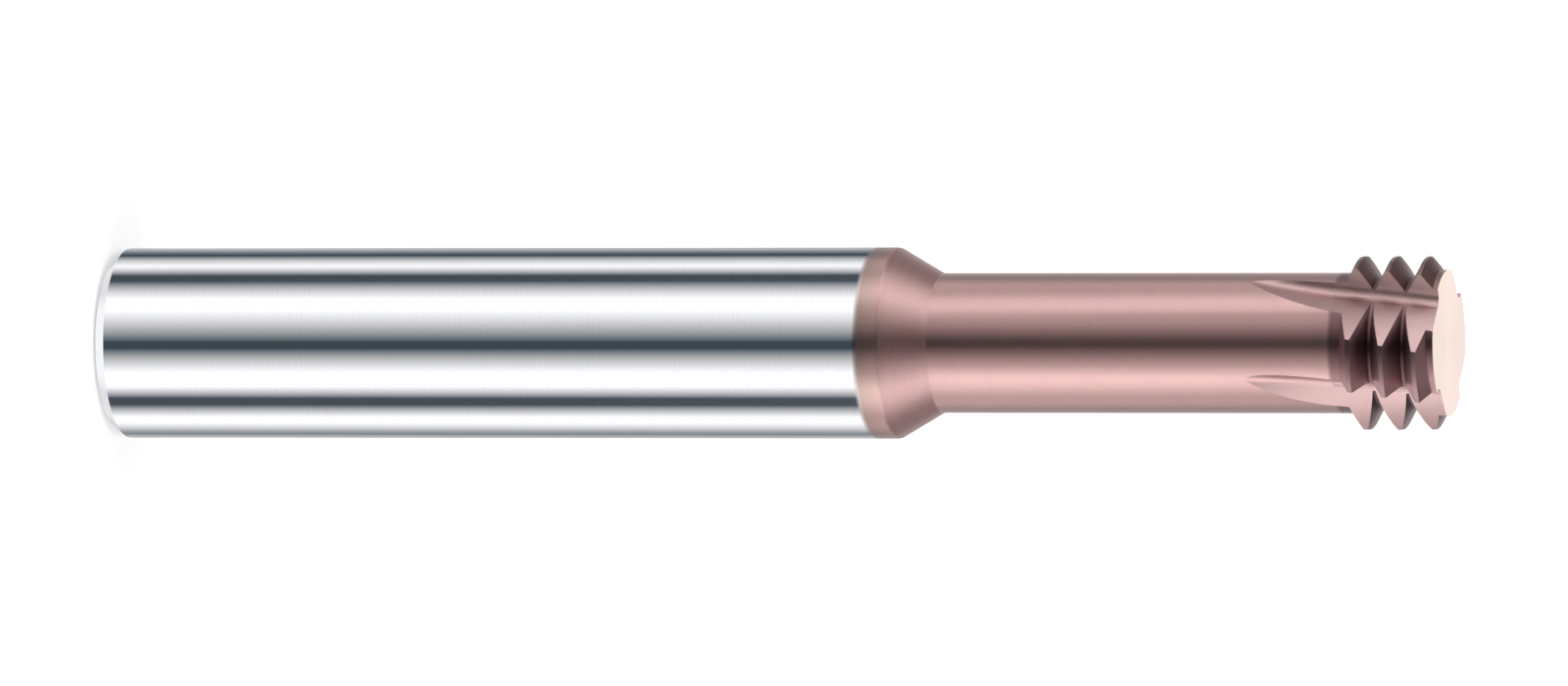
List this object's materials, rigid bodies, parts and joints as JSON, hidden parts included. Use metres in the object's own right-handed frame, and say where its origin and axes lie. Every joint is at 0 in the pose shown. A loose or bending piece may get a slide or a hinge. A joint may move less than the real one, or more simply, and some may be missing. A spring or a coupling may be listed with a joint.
{
  "type": "thread mill",
  "caption": "Solid carbide thread mill with a plain round shank, conical shoulder, slim neck and a fluted head of ring-shaped V teeth, for milling internal threads.",
  "frame": {"origin": "centre of the shank's flat end face, which is the base that the tool stands on", "axes": "+Z along the tool's axis from the shank to the cutting head; -Y is the side that faces the viewer in the picture, and the head's middle land is on that side"},
  "size_m": [0.01, 0.01, 0.072],
  "materials": {
    "carbide": "ground and polished carbide; the shoulder, neck and head carry a thin rose-copper coating"
  },
  "bodies": {
    "root": {"thread_mill": "carbide"}
  },
  "joints": []
}
